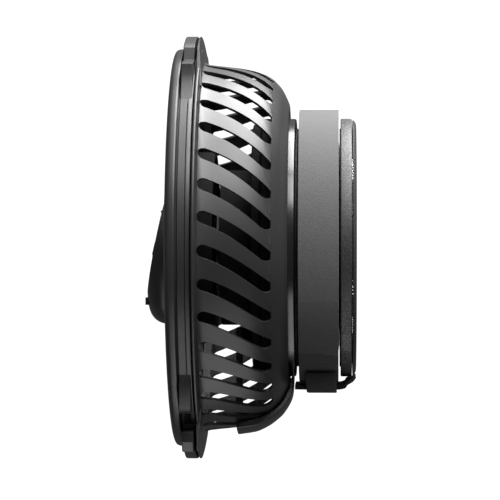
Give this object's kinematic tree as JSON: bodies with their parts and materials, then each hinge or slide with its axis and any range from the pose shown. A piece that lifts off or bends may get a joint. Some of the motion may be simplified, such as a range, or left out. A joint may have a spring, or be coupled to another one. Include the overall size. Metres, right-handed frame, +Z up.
{
  "type": "wave maker pump",
  "caption": "Aquarium wave maker pump: slotted intake cage, domed front cover with lugs, magnetic dry side across a grey foam spacer.",
  "frame": {"origin": "centre of the wet pad's glass face, on the pump's axis", "axes": "+Y along the pump's axis from the outlet towards the dry side, +Z up, +X to the right when looking along +Y"},
  "size_m": [0.1204, 0.0635, 0.128],
  "materials": {
    "satin": "satin moulded black plastic with a fine grain",
    "gloss": "polished black plastic",
    "grain": "speckled semi-matt black plastic",
    "rubber": "matt black rubber",
    "foam": "matt dark grey closed-cell foam",
    "ceramic": "white glazed ceramic",
    "nickel": "nickel plate",
    "ferrite": "sintered ferrite",
    "steel": "stacked electrical steel",
    "copper": "enamelled copper wire",
    "board": "green solder mask",
    "nylon": "white nylon"
  },
  "bodies": {
    "pump": {"intake_cage": "satin", "cage_strut": "satin", "motor_housing": "satin", "rotor_can": "gloss", "can_seal": "rubber", "stator_core": "steel", "driver_board": "board", "lead_connector": "nylon", "lead_gland": "rubber", "ceramic_shaft": "ceramic", "rear_shaft_bush": "rubber", "wet_base_plate": "gloss", "wet_pad": "rubber", "strap_saddle": "satin", "stator_coil_1": "copper", "stator_coil_2": "copper", "stator_coil_3": "copper", "stator_coil_4": "copper", "stator_coil_5": "copper", "stator_coil_6": "copper", "wet_magnet_1": "nickel", "wet_magnet_2": "nickel", "wet_magnet_3": "nickel", "wet_magnet_4": "nickel"},
    "rotor": {"rotor_carrier": "grain", "rotor_magnet": "ferrite", "rotor_bush_front": "ceramic", "rotor_bush_rear": "ceramic", "thrust_washer": "ceramic", "propeller": "grain", "propeller_nut": "grain"},
    "cover": {"front_cover": "satin", "outlet_grille": "satin", "nose_bush": "rubber", "nose_cap": "satin"},
    "spacer": {"foam_spacer": "foam"},
    "dry_side": {"dry_pad": "rubber", "dry_shell": "grain", "dry_back_cover": "grain", "retaining_strap": "rubber", "strap_block": "rubber", "dry_magnet_1": "nickel", "dry_magnet_2": "nickel", "dry_magnet_3": "nickel", "dry_magnet_4": "nickel"}
  },
  "joints": [
    {"name": "rotor_spin", "type": "hinge", "parent": "pump", "child": "rotor", "pos_m": [0, -0.028, 0], "axis": [0, 1, 0], "continuous": true},
    {"name": "cover_twist", "type": "hinge", "parent": "pump", "child": "cover", "pos_m": [0, -0.0335, 0], "axis": [0, 1, 0], "range_deg": [0, 14]},
    {"name": "spacer_pull", "type": "slide", "parent": "pump", "child": "spacer", "axis": [0, 1, 0], "range_m": [0, 0.03]},
    {"name": "dry_side_pull", "type": "slide", "parent": "spacer", "child": "dry_side", "axis": [0, 1, 0], "range_m": [0, 0.04]}
  ]
}
